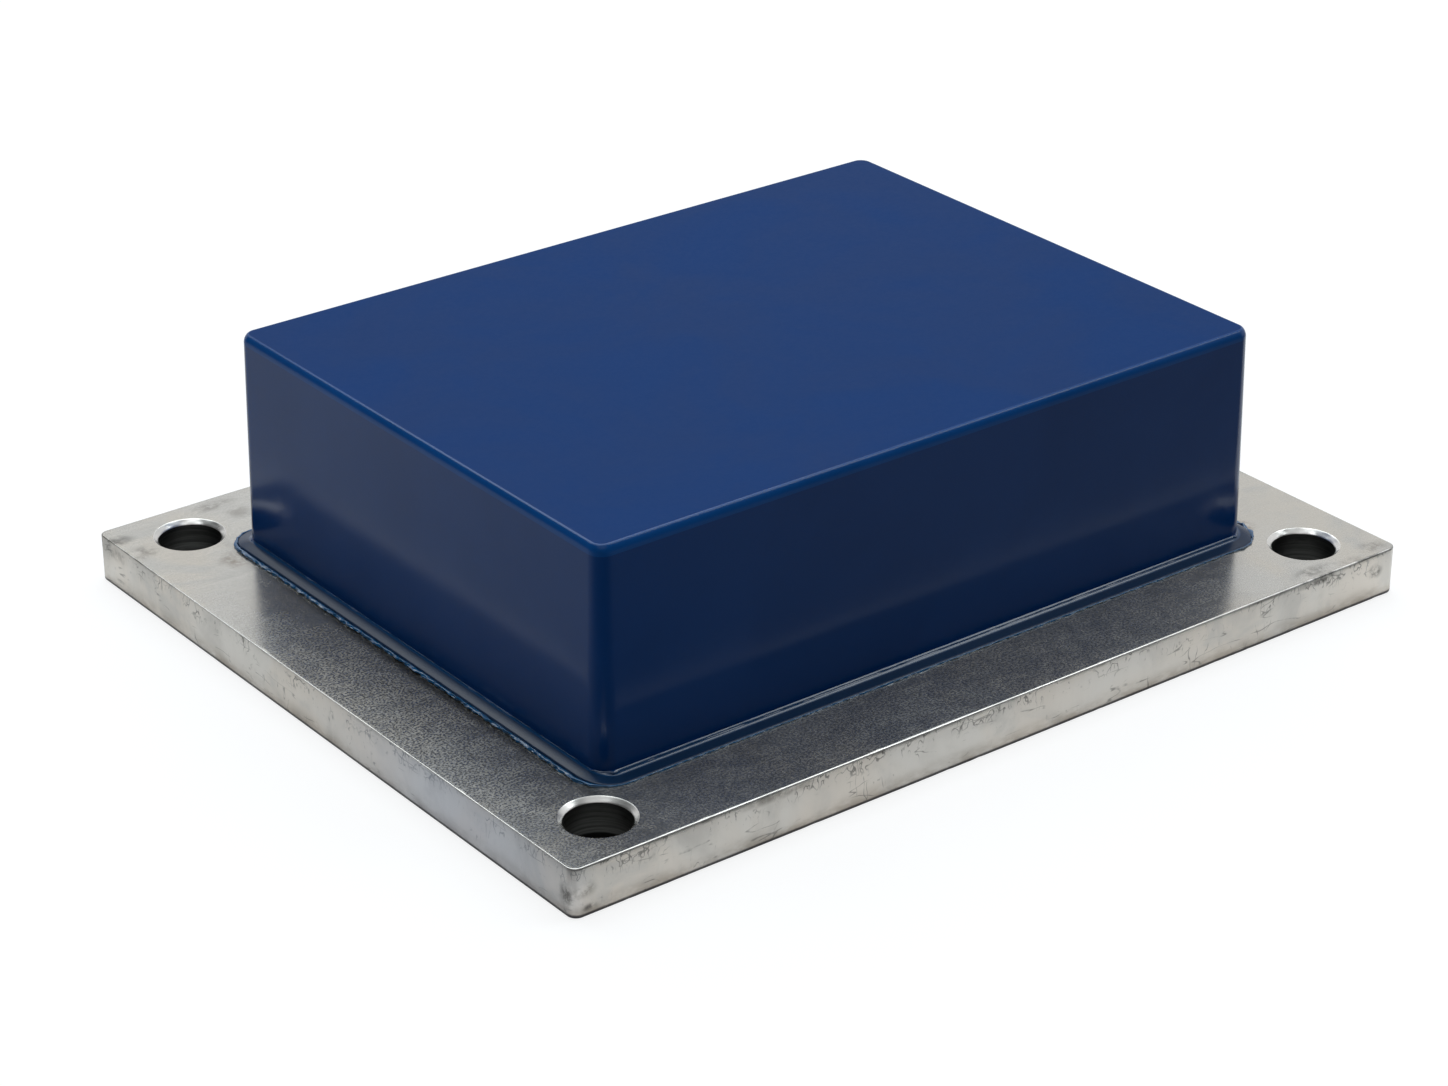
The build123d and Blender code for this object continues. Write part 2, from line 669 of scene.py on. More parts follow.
@dataclass(frozen=True)
class BareSteel:
    """Bare steel in two close tints, with grain, streaks, hairlines, scuffs, dirt, marks and painted
    shade.

    The grain is a share of the surface that scatters light instead of mirroring it. It varies by
    fine specks and fainter streaks, most in the speckled patches, and grows in the pale ones. By
    height above the floor there are scuffs under the top edge, brown dirt low down and a dark
    line of painted shade along the foot, where the contact shadow falls, each with its strength
    and the heights where it starts and is full. Some marks are painted shadow as well.
    """

    scuff_heights: ClassVar[Span] = (5.6 * MM, 8.2 * MM)
    grime_heights: ClassVar[Span] = (4.2 * MM, 0.3 * MM)
    foot_heights: ClassVar[Span] = (1.0 * MM, 0.6 * MM)

    name: str
    cool: Colour
    warm: Colour
    roughness: float
    grain: float = 0.0
    grain_depth: float = 0.3
    pale: tuple[Patch, ...] = ()
    speckled: tuple[Patch, ...] = ()
    streaks: Point = (900, 900, 900)
    streak_depth: float = 0.02
    clouds: float = 0.1
    hairlines: float = 0.0
    scuffs: float = 0.0
    low_grime: float = 0.0
    painted_foot_shade: float = 0.0
    marks: tuple[Mark, ...] = ()

    def hairline(self, g: Graph, stretch: Point, width: float, low: float, high: float) -> Socket:
        """Thin wavy lines where stretched noise passes its middle, kept in patches.

        Args:
            g: the material's graph.
            stretch: the noise's cells a metre along each axis, so that lines run along the least.
            width: how far from the middle the noise may be.
            low: the patch noise where lines start to show.
            high: the patch noise where they are full.

        Returns:
            The mask's socket.
        """
        value = g.noise(1, 2, 0.45, where=g.stretched(stretch, (3.1, 1.7, 0.4)))
        off = g.maths("ABSOLUTE", g.maths("SUBTRACT", value, 0.5))
        return g.product(g.between(off, width, width / 4), g.between(g.noise(150, 3, 0.6), low, high))

    def wear(self, g: Graph) -> Socket:
        """Wavy hairlines along the bar and across it, with short crooked ones under the top edge.

        It is the greatest of three masks: the hairlines, the scuffs times a step by height, and
        fainter flecks in patches all over.

        Args:
            g: the material's graph.

        Returns:
            The mask's socket.
        """
        along = self.hairline(g, (60, 60, 300), 0.012, 0.5, 0.6)
        across = self.hairline(g, (330, 330, 90), 0.012, 0.55, 0.64)
        crooked = self.hairline(g, (480, 480, 330), 0.03, 0.46, 0.58)
        near_top = g.between(g.axis(2), *self.scuff_heights)
        fleck = g.between(g.noise(1, 4, 0.7, where=g.stretched((900, 900, 520))), 0.6, 0.7)
        top_wear = g.product(near_top, g.maths("MAXIMUM", crooked, fleck), self.scuffs)
        lines = g.product(g.maths("MAXIMUM", along, across), self.hairlines)
        faint = g.product(fleck, g.between(g.noise(90, 3, 0.6), 0.5, 0.62), self.scuffs * 0.6)
        return g.maths("MAXIMUM", g.maths("MAXIMUM", lines, faint), top_wear)

    def raised(self, g: Graph, base: float, patches: tuple[Patch, ...]) -> Feed:
        """A base value, plus each patch's strength inside the patch."""
        return g.total(base, *(patch.mask(g) for patch in patches))

    def scattering(self, g: Graph, speck: Socket, streak: Socket) -> Socket:
        """The share of light that the surface scatters.

        It is the grain, raised in the pale patches, times 1 plus the depth times a swing between
        -1 and 1 that follows the specks and streaks, times slow clouds. The depth is raised in the
        speckled patches.

        Args:
            g: the material's graph.
            speck: the fine noise.
            streak: the drawn-out noise.

        Returns:
            The share's socket.
        """
        mixed = g.total(g.product(speck, 0.72), g.product(streak, 0.28))
        depth = self.raised(g, self.grain_depth, self.speckled)
        swing = g.total(1.0, g.product(g.between(mixed, 0.42, 0.58, -1, 1), depth))
        slow = g.between(g.noise(240, 5, 0.65, bend=0.8), 0.35, 0.65, 0.78, 1.22)
        return g.product(swing, slow, self.raised(g, 1.0, self.pale), self.grain)

    def speck_shadow(self, g: Graph, speck: Socket) -> Socket:
        """How far the specks darken the surface, in the speckled patches alone."""
        return g.product(g.between(speck, 0.6, 0.4), self.raised(g, 0.0, self.speckled))

    def build(self) -> bpy.types.Material:
        """Makes the material: the tints, with each kind of wear, mark and painted shade blended over
        them.

        Returns:
            The material.
        """
        material, g = new_material(self.name)
        cloud = g.noise(70, 5, 0.6, bend=1.0)
        streak = g.noise(1, 4, 0.65, where=g.stretched(self.streaks))
        speck = g.noise(2200, 1, 0.5)
        dull = tuple(c * (1 - self.clouds) for c in self.cool)
        colour = g.blend(g.between(g.noise(28, 3, 0.6, bend=0.6), 0.4, 0.6), self.cool, self.warm)
        colour = g.blend(g.between(cloud, 0.55, 0.3), colour, dull)
        if self.low_grime:
            low = g.between(g.axis(2), *self.grime_heights)
            patchy = g.between(g.noise(1, 4, 0.65, where=g.stretched((110, 110, 260))), 0.35, 0.62)
            colour = g.blend(g.product(low, patchy, self.low_grime), colour, BROWN_GRIME)
        if self.hairlines:
            colour = g.blend(self.wear(g), colour, tuple(c * 0.28 for c in self.cool))
        ragged = g.between(g.noise(330, 5, 0.7), 0.36, 0.6)
        # some marks are painted shadow, such as the dark band beside the skirt on the rolled face
        for mark in self.marks:
            colour = g.blend(g.product(mark.mask(g), ragged if mark.ragged else 1.0), colour, mark.tint)
        if self.speckled:
            colour = g.blend(self.speck_shadow(g, speck), colour, SPECK_TINT)
        # painted shade: a dark line low on the side and on the bottom edge, where the contact shadow
        # falls
        if self.painted_foot_shade:
            foot = g.between(g.axis(2), *self.foot_heights, 0, self.painted_foot_shade)
            colour = g.blend(foot, colour, FOOT_SHADE_TINT)
        streaked = g.between(streak, 0.3, 0.7, self.streak_depth, -self.streak_depth)
        clouded = g.between(cloud, 0.3, 0.7, 0.02, -0.02)
        shader = g.node(
            "BsdfPrincipled",
            Base_Color=colour,
            Metallic=g.maths("SUBTRACT", 1.0, self.scattering(g, speck, streak)),
            Roughness=g.total(self.roughness, streaked, clouded),
            Normal=g.bump(speck, 0.000008, 0.25),
        )
        g.end("OutputMaterial", shader.outputs[0])
        return material


@dataclass(frozen=True)
class DrilledSteel:
    """The wall of a drilled hole: dark, with turned rings and painted shade towards the bottom."""

    name: str
    colour: Colour
    bottom_shade: Colour
    shade_top: float

    def build(self) -> bpy.types.Material:
        """Makes the material: rings by noise drawn out round the hole, and painted shade by height.

        Returns:
            The material.
        """
        material, g = new_material(self.name)
        rings = g.noise(1, 3, 0.7, where=g.stretched((60, 60, 2600)))
        ringed = g.blend(g.between(rings, 0.35, 0.65), tuple(c * 0.55 for c in self.colour), self.colour)
        # painted shade: below the given height the bore turns near-black, standing in for the shadow low
        # in the hole
        low = g.between(g.axis(2), self.shade_top * 1.1, self.shade_top * 0.9)
        shader = g.node(
            "BsdfPrincipled",
            Base_Color=g.blend(low, ringed, self.bottom_shade),
            Metallic=1.0,
            Roughness=g.between(rings, 0.3, 0.7, 0.5, 0.38),
            Normal=g.bump(rings, 0.00004, 0.5),
        )
        g.end("OutputMaterial", shader.outputs[0])
        return material


class Face(IntEnum):
    """The plate's kinds of surface, in the order of its material slots."""

    FLAT = 0
    SIDE = 1
    BROKEN_EDGE = 2
    COUNTERSINK = 3
    BORE = 4


class Casting(IntEnum):
    """The block's kinds of surface, in the order of its material slots."""

    MOULDED = 0
    OPEN_TOP = 1
    TOP_EDGE = 2
    APRON = 3
    FLASH = 4
    CREASE = 5


@dataclass
class BasePlate:
    """The flat steel plate with its four bolt holes.

    A break is the radius of an edge, and the flat lead is a narrow strip beside it that keeps the
    shading of the face level. Dents show where their noise is over the dent level.
    """

    node: str = "steel_base_plate"
    corner_radius: float = 2.0 * MM
    top_break: float = 0.34 * MM
    end_top_break: float = 0.17 * MM
    foot_break: float = 0.5 * MM
    countersink: float = 0.9 * MM
    deburr: float = 0.4 * MM
    hole_round: float = 0.04 * MM
    flat_lead: float = 0.25 * MM
    spacing: float = 0.6 * MM
    corner_steps: int = 12
    edge_steps: int = 6
    side_steps: int = 14
    cone_steps: int = 6
    wall_steps: int = 24
    hole_steps: int = 140
    chatter_lobes: int = 14
    chatter: tuple[float, ...] = (0.006 * MM, 0.04 * MM, 0.035 * MM, 0.035 * MM)
    dent_depth: float = 0.1 * MM
    dent_cell: float = 3 * MM
    dent_level: float = 0.3
    wander_depth: float = 0.05 * MM
    wander_cell: float = 16 * MM
    hole_radius: float = field(init=False)
    hole_centres: list[Span] = field(init=False)

    def __post_init__(self) -> None:
        """Reads the plate's box and its bolt pattern from the frame."""
        _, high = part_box(self.node)
        self.half_x, self.half_y, self.thickness = high.x, high.y, high.z
        pattern = next(m for m in frame["record"]["mounts"] if m["kind"] == "bolt_pattern")["dims"]
        self.hole_radius = pattern["hole_r_mm"] * MM
        along, across = pattern["spacing_x_mm"] * MM / 2, pattern["spacing_y_mm"] * MM / 2
        self.hole_centres = [(x * along, y * across) for x in (-1, 1) for y in (-1, 1)]

    def section(self, top_break: float) -> np.ndarray:
        """The rim's profile, out and up: in from the top face over the edge, down and under.

        Args:
            top_break: the radius of the top edge.

        Returns:
            The points, with distances out taken from the centre of a corner.
        """
        r, t, f = self.corner_radius, self.thickness, self.foot_break
        top = arc((r - top_break, t - top_break), top_break, 90, 0, self.edge_steps)
        bottom = arc((r - f, f), f, 0, -90, self.edge_steps)
        side = line((r, t - top_break), (r, f), self.side_steps)
        lead = r - f - self.flat_lead
        return np.concatenate([[(lead, t)], top, side, bottom, [(lead, 0)]])

    def rim(self) -> tuple[np.ndarray, np.ndarray]:
        """Works out the plate's outer surface as a profile carried round its outline.

        The long sides' and the ends' profiles are mixed round the outline. Its edges go in, and
        down or up, by two noises, a slow one and one for dents, half as far at the ends.

        Returns:
            The profile's rows of points, and a material slot for each strip.
        """
        outline = RoundedRectangle(self.half_x, self.half_y, self.corner_radius)
        ring = outline.ring(self.spacing, self.corner_steps)
        profile = ring.mixed(self.section(self.top_break), self.section(self.end_top_break))
        rows = ring.carry(profile[..., 0], profile[..., 1])
        last = self.edge_steps + 1
        on_edge = np.zeros((len(profile), 1))
        on_edge[2:last] = on_edge[-last:-2] = 1
        dents = (layered_noise(rows, self.dent_cell, seed=11) - self.dent_level).clip(0)
        wander = layered_noise(rows, self.wander_cell, seed=23).clip(0)
        inset = self.wander_depth * wander + self.dent_depth * dents
        inset *= on_edge * (1 - ring.outwards[:, 0] ** 2 / 2)
        rows[..., :2] -= ring.outwards[None] * inset[..., None]
        rows[..., 2] += np.where(profile[..., 1] > self.thickness / 2, -1, 1) * inset
        slots = np.full(len(profile) - 1, Face.SIDE)
        slots[1:last] = slots[-last:-1] = Face.BROKEN_EDGE
        slots[0] = slots[-1] = Face.FLAT
        return rows, slots

    def hole(self, centre: Span, chatter: float) -> tuple[np.ndarray, np.ndarray]:
        """Works out one bolt hole as a turned profile: countersink, bore and deburred edge below.

        The countersink bulges by a sine of the angle round the hole, whose phase wavers once a
        turn, as a chattering tool leaves it.

        Args:
            centre: the hole's centre seen from above.
            chatter: how far the countersink bulges.

        Returns:
            Rows of points from the top face down to the underside, and a slot for each strip.
        """
        r, t, c, d = self.hole_radius, self.thickness, self.countersink, self.deburr
        soft, lead = self.hole_round, self.flat_lead
        mouth = [(r + c + soft + lead, t), (r + c + soft, t), (r + c + soft / 3, t - soft / 3)]
        cone = line((r + c, t - soft), (r + soft / 2, t - c + soft / 2), self.cone_steps)
        throat = [(r + soft / 4, t - c - soft / 3), (r, t - c - 2 * soft)]
        wall = line((r, t - c - 2 * soft), (r, d + soft), self.wall_steps)
        foot = [(r, d + soft), (r + d, 0), (r + d + lead, 0)]
        profile = np.concatenate([mouth, cone, throat, wall, foot])
        angle = np.linspace(0, 2 * pi, self.hole_steps, endpoint=False)
        cone_end = len(mouth) + len(cone)
        bulge = np.zeros(len(profile))
        bulge[len(mouth):cone_end] = np.sin(np.linspace(0, pi, len(cone) + 2)[1:-1])
        wave = np.sin(self.chatter_lobes * angle + 2 * np.sin(angle + centre[0] / MM))
        across = profile[:, :1] - chatter * bulge[:, None] * wave
        slots = np.full(len(profile) - 1, Face.BORE)
        slots[:cone_end] = Face.COUNTERSINK
        slots[0] = Face.FLAT
        return circle(centre, self.hole_steps).carry(across, profile[:, 1:]), slots

    def build(self, finishes: list[bpy.types.Material]) -> bpy.types.Object:
        """Builds the plate in one closed mesh and stands it in for the CAD node.

        Args:
            finishes: a material for each kind of surface, in the order of Face.

        Returns:
            The plate.
        """
        skin = Skin()
        rows, slots = self.rim()
        skin.add_rows(rows, slots)
        holes = []
        for centre, chatter in zip(self.hole_centres, self.chatter):
            hole_rows, hole_slots = self.hole(centre, chatter)
            skin.add_rows(hole_rows, hole_slots, turned=True)
            holes.append(hole_rows)
        skin.add_flat(rows[0], [hole[0] for hole in holes], Face.FLAT, downwards=False)
        skin.add_flat(rows[-1], [hole[-1] for hole in holes], Face.FLAT, downwards=True)
        piece = skin.make("base_plate", finishes)
        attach(piece, "root")
        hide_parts(self.node)
        return piece


@dataclass(frozen=True)
class SkirtForm:
    """The skirt's section on one pair of sides: crease, seam, apron and the roll round its rim.

    Except for the slopes the values are heights above the plate and radii. The seam is round with
    a flat facet in its middle. The apron's slopes are set at shares of the way out from the seam
    to its brink, and only their ratio counts. Past the brink it drops to a valley beside the roll.
    """

    crease: float
    seam: float
    seam_stands_out: float
    facet: float
    slopes: tuple[Span, ...]
    brink: float
    valley: float
    roll: float
    roll_height: float


END_FORM = SkirtForm(
    crease=1.3 * MM, seam=0.055 * MM, seam_stands_out=0.04 * MM, facet=0.01 * MM,
    slopes=((0, 0.02), (0.25, 0.1), (0.5, 0.27), (0.75, 0.38), (0.9, 0.44), (1, 0.5)),
    brink=0.58 * MM, valley=0.14 * MM, roll=0.35 * MM, roll_height=0.6 * MM,
)
LONG_FORM = SkirtForm(
    crease=1.22 * MM, seam=0.11 * MM, seam_stands_out=0.09 * MM, facet=0.3 * MM,
    slopes=((0, 1.6), (0.11, 1.35), (0.14, 0.8), (0.16, 0.45), (0.2, 0.26), (0.7, 0.22), (1, 0.26)),
    brink=0.26 * MM, valley=0.14 * MM, roll=0.15 * MM, roll_height=0.33 * MM,
)


@dataclass
class CastBlock:
    """The cast block with its drafted sides and the skirt round its foot.

    Turns are in degrees, from the way out towards up. Each kind of unevenness has how far it goes
    and the cell of its noise. The lumps on the seam stand where the way out has turned so far from
    the long axis.
    """

    node: str = "polyurethane_block"
    skirt_width: float = 3.5 * MM
    end_form: SkirtForm = END_FORM
    long_form: SkirtForm = LONG_FORM
    brink_run: float = 0.18 * MM
    facet_faces: float = 50.0
    draft: float = radians(1.0)
    corner_radius: float = 3.0 * MM
    top_tight: float = 0.62 * MM
    top_wide: float = 2.2 * MM
    top_turn: float = 45.0
    seam_turn: Span = (80.0, -25.0)
    roll_turn: Span = (165.0, -35.0)
    flat_lead: float = 0.3 * MM
    spacing: float = 0.45 * MM
    corner_steps: int = 20
    tight_steps: int = 6
    wide_steps: int = 8
    side_steps: int = 5
    seam_steps: tuple[int, int] = (3, 4)
    brink_steps: int = 2
    roll_steps: int = 10
    lid_rows: int = 12
    underside_rows: int = 2
    crease_strips: int = 6
    apron_points: int = 21
    apron_crowding: float = 1.4
    wave: float = 0.02 * MM
    wave_cell: float = 26 * MM
    seam_wave: float = 0.075 * MM
    seam_cell: float = 4.5 * MM
    lump: float = 0.34 * MM
    lump_turns: tuple[float, ...] = (16.0, 74.0)
    lump_reach: float = 7.0
    roll_lumps: float = 0.5 * MM
    roll_cell: float = 0.95 * MM
    roll_squash: Point = (1.0, 1.0, 2.5)
    roll_on_long_sides: float = 0.5
    roll_wander: float = 0.14 * MM
    roll_wander_cell: float = 10 * MM
    roll_lift: float = 0.6
    roll_seated_rows: int = 3
    top_sink: float = 0.05 * MM
    top_sink_cell: float = 34 * MM
    top_sink_fade: float = 12 * MM

    def __post_init__(self) -> None:
        """Reads the block's box from the frame and works out its foot."""
        low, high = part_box(self.node)
        self.seat, self.height = low.z, high.z - low.z
        self.spread = self.height * tan(self.draft)
        self.foot_x, self.foot_y = high.x - self.skirt_width, high.y - self.skirt_width
        self.foot_radius = self.corner_radius + self.spread

    def apron(self, form: SkirtForm, start: Span, end: Span) -> np.ndarray:
        """The skirt's upper face, from the seam out to its brink.

        Its height falls from the start's to the end's by the running sum of the form's slopes. The
        points crowd towards the seam.

        Args:
            form: the sizes.
            start: where it leaves the seam, out and up.
            end: its brink.

        Returns:
            The points between the two.
        """
        share = np.linspace(0, 1, self.apron_points) ** self.apron_crowding
        slope = np.interp(share, *zip(*form.slopes))
        fallen = np.cumsum(np.diff(share) * (slope[1:] + slope[:-1]) / 2)
        out = start[0] + (end[0] - start[0]) * share[1:-1]
        return np.stack([out, start[1] - (start[1] - end[1]) * fallen[:-1] / fallen[-1]], axis=1)

    def profile(self, form: SkirtForm) -> dict[str, np.ndarray]:
        """Works out the section from the top face down to the plate, out and up.

        Distances out are from the centre of a corner. The top edge is a tight arc that runs on
        into a wide one, and the side leans out by the draft down to a fine seam. The skirt's apron
        falls from under the seam to a narrow valley beside the roll of flash at the rim.

        Args:
            form: the skirt's sizes.

        Returns:
            The points of each stretch, in order from the top.
        """
        reach, lean = self.foot_radius, tan(self.draft)
        turn = radians(self.top_turn)
        apart = self.top_wide - self.top_tight
        top = self.height - self.top_tight - apart * sin(turn)
        side_x = reach - top * lean
        wide_at = (side_x - self.top_wide, top)
        tight_at = (wide_at[0] + apart * cos(turn), wide_at[1] + apart * sin(turn))
        tight = arc(tight_at, self.top_tight, 90, self.top_turn, self.tight_steps)
        wide = arc(wide_at, self.top_wide, self.top_turn, 1, self.wide_steps)
        edge = np.concatenate([tight, wide[1:]])
        lead = (tight_at[0] - self.flat_lead, self.height)
        near_edge = (edge[-1][0], edge[-1][1] - self.flat_lead)
        crease_x = reach - form.crease * lean
        seam_at = (crease_x + form.seam_stands_out - form.seam, form.crease)
        faces = radians(self.facet_faces)
        along_facet = form.facet * np.array([sin(faces), -cos(faces)])
        upper = arc(seam_at, form.seam, self.seam_turn[0], self.facet_faces, self.seam_steps[0])
        lower = arc(seam_at, form.seam, self.facet_faces, self.seam_turn[1], self.seam_steps[1])
        seam = np.concatenate([upper, lower + along_facet])
        side_end = (crease_x, seam[0][1] + form.seam / 3)
        near_seam = (side_end[0] - self.flat_lead * lean, side_end[1] + self.flat_lead)
        wall = line(near_edge, near_seam, self.side_steps)
        side = np.concatenate([[near_edge], wall, [near_seam, side_end]])
        roll_at = (reach + self.skirt_width - form.roll, form.roll_height - form.roll)
        roll = arc(roll_at, form.roll, *self.roll_turn, self.roll_steps)
        valley = (roll[0][0] - form.roll / 5, form.valley)
        brink = (valley[0] - self.brink_run, form.brink)
        foot = np.array([(roll[-1][0] - form.roll / 5, 0.0)])
        fall = self.apron(form, tuple(seam[-1]), brink)
        return {
            "edge": np.concatenate([[lead], edge]),
            "side": side,
            "seam": seam,
            "apron": np.concatenate([fall, [brink], line(brink, valley, self.brink_steps), [valley]]),
            "roll": np.concatenate([roll, foot]),
        }

    def unevenness(
        self, rows: np.ndarray, outwards: np.ndarray, stretches: dict[str, slice]
    ) -> np.ndarray:
        """How far each point stands out from the true shape.

        The sides and the top edge wave gently by noise. The seam comes and goes by noise too, with
        a small lump by each end of a corner, a bell curve of the way out's angle. The roll of flash
        is lumpy where it was trimmed: short cells of noise on a slow wander, at half strength on
        the long sides.

        Args:
            rows: the true points.
            outwards: which way is out round the path.
            stretches: each stretch's rows.

        Returns:
            Distances, with a row and a column for each point.
        """
        out = np.zeros(rows.shape[:2])
        for name, depth, cell, seed in (
            ("edge", self.wave, self.wave_cell, 5),
            ("side", self.wave, self.wave_cell, 5),
            ("seam", self.seam_wave, self.seam_cell, 17),
        ):
            out[stretches[name]] = depth * layered_noise(rows[stretches[name]], cell, seed)
        turn = np.degrees(np.arctan2(np.abs(outwards[:, 1]), np.abs(outwards[:, 0])))
        lumps = sum(np.exp(-(((turn - at) / self.lump_reach) ** 2)) for at in self.lump_turns)
        out[stretches["seam"]] += self.lump * lumps
        rim = rows[stretches["roll"]]
        share = np.where(np.abs(rim[..., 0]) > self.foot_x, 1.0, self.roll_on_long_sides)
        short = layered_noise(rim * self.roll_squash, self.roll_cell, seed=31, layers=2)
        slow = layered_noise(rim, self.roll_wander_cell, seed=47)
        out[stretches["roll"]] = share * (self.roll_lumps * short + self.roll_wander * slow)
        return out

    def top_wave(self, lid: np.ndarray) -> np.ndarray:
        """How far the open top sinks below its rim.

        It is a depth times slow noise, times the square of the distance in from the rim.

        Args:
            lid: the lid's points.

        Returns:
            A height for each point, 0 or less.
        """
        half = np.array([self.foot_x - self.spread, self.foot_y - self.spread])
        inwards = (half - np.abs(lid[..., :2])).min(axis=-1)
        fade = (inwards / self.top_sink_fade).clip(0, 1) ** 2
        return -self.top_sink * fade * (1 + layered_noise(lid, self.top_sink_cell, seed=61)) / 2

    def build(self, finishes: list[bpy.types.Material]) -> bpy.types.Object:
        """Builds the casting in one closed mesh and stands it in for the CAD node.

        The sections by long_form and by end_form are mixed and carried round the foot, and their
        points moved out or in by the unevenness. The roll rises with it too.

        Args:
            finishes: a material for each kind of surface, in the order of Casting.

        Returns:
            The block.
        """
        foot = RoundedRectangle(self.foot_x, self.foot_y, self.foot_radius)
        ring = foot.ring(self.spacing, self.corner_steps)
        parts = self.profile(self.long_form)
        ends = np.cumsum([len(part) for part in parts.values()])
        stretches = {name: slice(end - len(parts[name]), end) for name, end in zip(parts, ends)}
        long_side = np.concatenate(list(parts.values()))
        end_side = np.concatenate(list(self.profile(self.end_form).values()))
        profile = ring.mixed(long_side, end_side)
        rows = ring.carry(profile[..., 0], profile[..., 1] + self.seat)
        out = self.unevenness(rows, ring.outwards, stretches)
        out[0] = 0
        rows[..., :2] += ring.outwards[None] * out[..., None]
        seam, apron, roll = stretches["seam"], stretches["apron"], stretches["roll"]
        lifted = slice(roll.start, roll.stop - self.roll_seated_rows)
        rows[lifted, :, 2] += self.roll_lift * out[lifted]
        slots = np.full(len(rows) - 1, Casting.MOULDED)
        slots[0] = Casting.OPEN_TOP
        slots[1:stretches["side"].start] = Casting.TOP_EDGE
        slots[apron] = Casting.APRON
        slots[seam.start:apron.start + self.crease_strips] = Casting.CREASE
        slots[roll.start:] = Casting.FLASH
        skin = Skin()
        skin.add_rows(rows, slots)
        skin.add_lid(rows[0], self.lid_rows, Casting.OPEN_TOP, rise=self.top_wave)
        skin.add_lid(rows[-1], self.underside_rows, Casting.MOULDED, downwards=True)
        piece = skin.make("cast_block", finishes)
        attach(piece, "root")
        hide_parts(self.node)
        return piece


